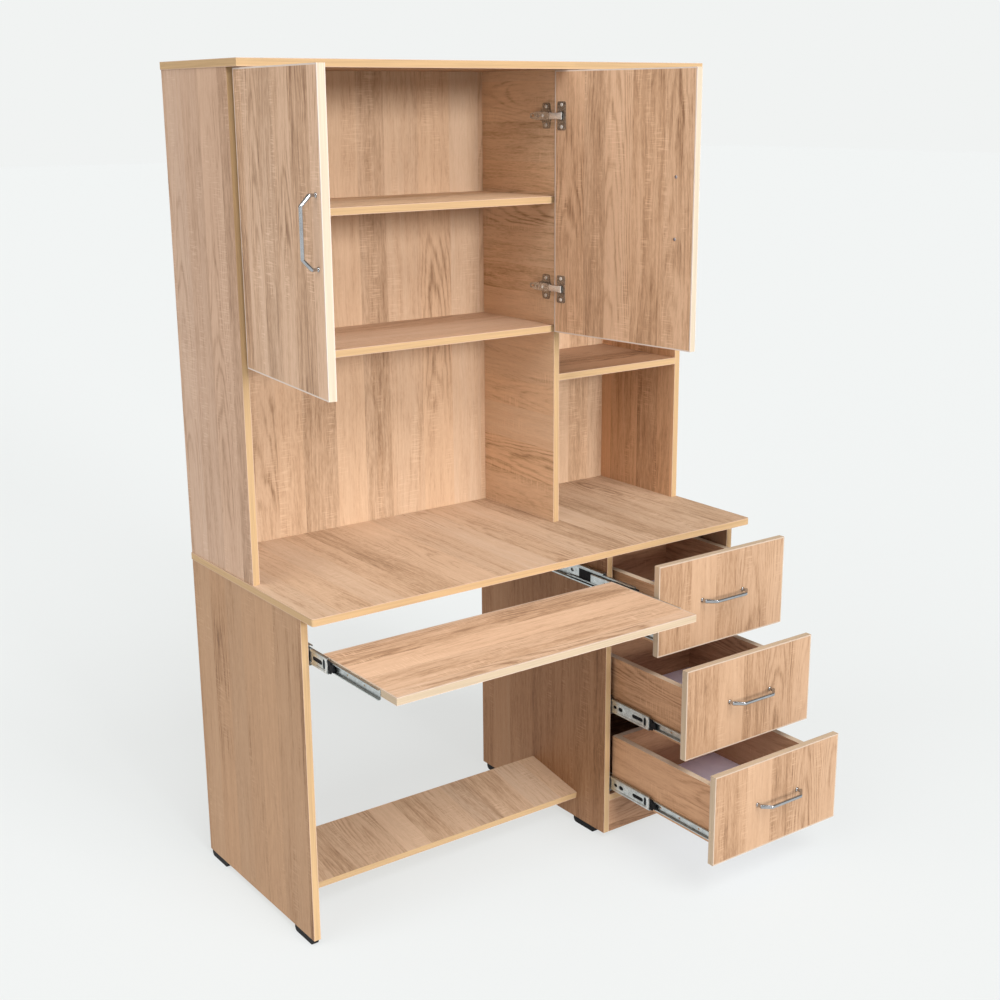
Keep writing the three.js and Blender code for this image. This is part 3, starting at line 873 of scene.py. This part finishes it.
def hinge_cup(cad_name, s, door, out, on_door):
    """Flange with a round bore, and the shallow cup in it, on the door's inner face."""
    rim = rounded([(-13, -31), (13, -31), (13, 31), (-13, 31)], 5, 4, True)
    rim = [(s * p.x, p.y) for p in rim]
    flange = piece(f"{cad_name}_cup_flange", prism(rim, 0.02, 1.3, on_door), NICKEL, door)
    middle = on_door(0, 0, 0)
    cut(flange, [lathe([(0.0105, -0.003), (0.0105, 0.003)], middle, out, 28)])
    dish = [(0.0104, 0.0003), (0.0104, 0.0012), (0.0098, 0.0013), (0.0091, 0.0008), (0.0040, 0.0003)]
    piece(f"{cad_name}_cup", lathe(dish, middle, out, 28), NICKEL, door)
    screws(f"{cad_name}_cup_screws", [on_door(0, h, 1.3) for h in CUP_SCREWS], out, door,
           0.0040, 0.0012, BRIGHT)


def hinge_link(cad_name, s, start, end):
    """Bright bowed link from the arm's front end to the cup, narrower at its waist."""
    vertices = []
    run = end - start
    lift = Vector((s, 0, 0))
    for i in range(LINK_STEPS + 1):
        t = i / LINK_STEPS
        centre = start + run * t + lift * (math.sin(math.pi * t) * LINK_BOW)
        half = LINK_HALF - LINK_WAIST * math.sin(math.pi * t)
        for h, d in ((-half, -0.001), (half, -0.001), (half, 0.0008), (half * 0.7, 0.0014),
                     (-half * 0.7, 0.0014), (-half, 0.0008)):
            vertices.append(centre + lift * d + Vector((0, 0, h)))
    faces = tube_faces(LINK_STEPS + 1, 6)
    link = piece(f"{cad_name}_link", (vertices, faces), BRIGHT, None)
    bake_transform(link)


def hinge(side_name, level):
    """A concealed hinge: arm on the panel, cup in the door and the link between them."""
    cad_name, door = f"{side_name}_hinge_{level}", f"{side_name}_door"
    lo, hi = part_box(cad_name)
    z = (lo.z + hi.z) / 2
    s = 1 if side_name == "left" else -1
    panel_x = lo.x if s > 0 else hi.x

    def on_panel(y, h, d):
        return Vector((panel_x + s * d * MM, lo.y + y * MM, z + h * MM))

    place, span, _ = DOORS[side_name]
    middle = (span[0][0] if s > 0 else span[0][1]) + s * CUP_FROM_EDGE * MM

    def on_door(a, h, d):
        return place @ Vector((middle + a * MM, span[1][1] + d * MM, z + h * MM))

    hinge_arm(cad_name, s, on_panel)
    hinge_cup(cad_name, s, door, place.to_3x3() @ Vector((0, 1, 0)), on_door)
    hinge_link(cad_name, s, on_panel(3, 0, 9.0), on_door(2 * s, 0, 3.2))


for side_now in ("left", "right"):
    for level_now in ("lower", "upper"):
        hinge(side_now, level_now)

# Ends of the handle screws on the inner face of each door.
for side_now, (door_place, door_span, handle_span) in DOORS.items():
    x, z = sum(handle_span[0]) / 2, sum(handle_span[2]) / 2
    heads = [door_place @ Vector((x, door_span[1][1], z + d * MM)) for d in (-BOW_HALF, BOW_HALF)]
    screws(f"{side_now}_door_handle_screws", heads, door_place.to_3x3() @ Vector((0, 1, 0)),
           f"{side_now}_door", 0.0036, 0.0012)


# ---------------------------------------------------------------- floor and light
BACKDROP = (0.879, 0.896, 0.888)
FLOOR_HALF = 40
FLOOR_COLOR, FLOOR_GLOW = (0.218, 0.232, 0.239), 0.68
# Colour of the studio's fill light and its strength from the horizon up.
FILL = (0.88, 0.78, 0.67)
WORLD_STEPS = [(0.0, 0.16), (0.02, 0.10), (0.14, 0.16), (0.26, 0.34), (1.0, 0.42)]
# name, strength, spread in degrees, direction of the light
LIGHTS = [
    ("front", 2.45, 16, (0.00, 0.978, -0.208)),
    ("high", 2.5, 40, (0.00, 0.643, -0.766)),
    ("left", 1.7, 60, (0.903, 0.079, -0.423)),
]


def make_floor():
    mesh = bpy.data.meshes.new("floor")
    corners = [(FLOOR_HALF * x, FLOOR_HALF * y, 0) for x, y in ((-1, -1), (1, -1), (1, 1), (-1, 1))]
    mesh.from_pydata(corners, [], [(0, 1, 2, 3)])
    floor = bpy.data.objects.new("floor", mesh)
    bpy.context.scene.collection.objects.link(floor)
    material, _, shader = new_material("floor")
    shader.inputs["Base Color"].default_value = (*FLOOR_COLOR, 1)
    shader.inputs["Roughness"].default_value = 0.9
    shader.inputs["Specular IOR Level"].default_value = 0.0
    shader.inputs["Emission Color"].default_value = (*BACKDROP, 1)
    shader.inputs["Emission Strength"].default_value = FLOOR_GLOW
    mesh.materials.append(material)


def make_light():
    world = bpy.data.worlds.new("studio")
    world.use_nodes = True
    t = world.node_tree
    way = t.nodes.new("ShaderNodeTexCoord").outputs["Generated"]
    up = node(t, "ShaderNodeSeparateXYZ", None, {0: way}).outputs[2]
    glow = ramp(t, up, [(place, (level,) * 3) for place, level in WORLD_STEPS])
    studio = mix(t, 1.0, glow, (*FILL, 1), "MULTIPLY")
    # The backdrop behind the object is one flat colour; only the light it gives follows WORLD_STEPS.
    seen = t.nodes.new("ShaderNodeLightPath").outputs["Is Camera Ray"]
    t.links.new(mix(t, seen, studio, (*BACKDROP, 1)), t.nodes["Background"].inputs["Color"])
    bpy.context.scene.world = world
    for name, strength, spread, direction in LIGHTS:
        light = bpy.data.lights.new(name, "SUN")
        light.energy, light.angle = strength, math.radians(spread)
        lamp = bpy.data.objects.new(name, light)
        lamp.rotation_mode = "QUATERNION"
        lamp.rotation_quaternion = Vector(direction).to_track_quat("-Z", "Y")
        bpy.context.scene.collection.objects.link(lamp)
    bpy.context.scene.view_settings.view_transform = "Standard"


make_floor()
make_light()
